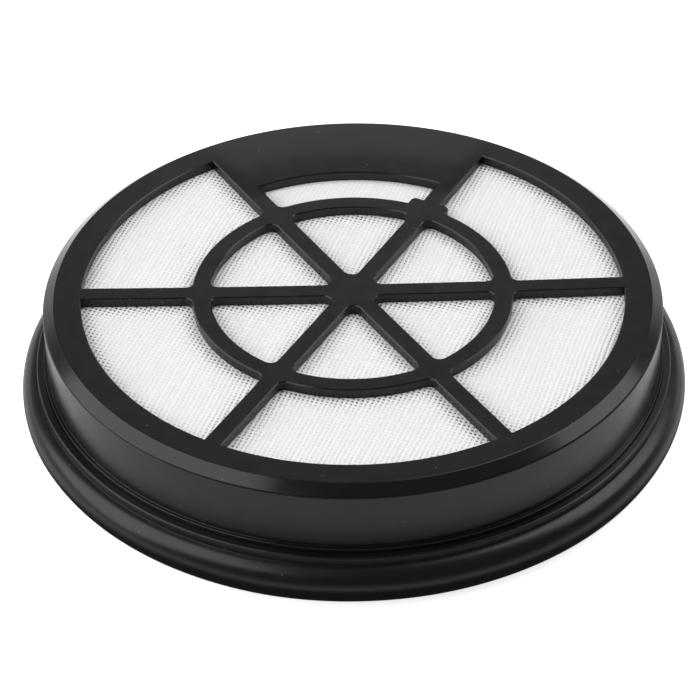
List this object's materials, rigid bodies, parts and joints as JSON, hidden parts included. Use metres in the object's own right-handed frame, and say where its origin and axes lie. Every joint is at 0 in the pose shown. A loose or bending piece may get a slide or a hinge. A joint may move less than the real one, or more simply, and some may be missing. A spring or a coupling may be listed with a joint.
{
  "type": "vacuum motor filter",
  "caption": "Round pleated filter for a vacuum cleaner's motor: spoked plastic grille frame over white net and pleats, with a rubber bead seal round its foot.",
  "frame": {"origin": "on the filter's axis, at the level of the surface that the seal's bead rests on", "axes": "+Z along the filter's axis, from the open pleated side to the grille; +X along one spoke; the solid panel lies towards +Y"},
  "size_m": [0.1652, 0.1652, 0.03],
  "materials": {
    "black_abs": "satin-gloss moulded ABS",
    "white_net": "woven polyester net",
    "white_felt": "needled polyester felt",
    "filter_paper": "folded filter paper",
    "hot_melt": "hot-melt glue",
    "black_rubber": "soft moulded rubber"
  },
  "bodies": {
    "root": {"grille_frame": "black_abs", "scrim_net": "white_net", "prefilter_felt": "white_felt", "pleated_pack": "filter_paper", "potting_ring": "hot_melt", "pleat_spacers": "hot_melt", "rubber_seal": "black_rubber"}
  },
  "joints": []
}
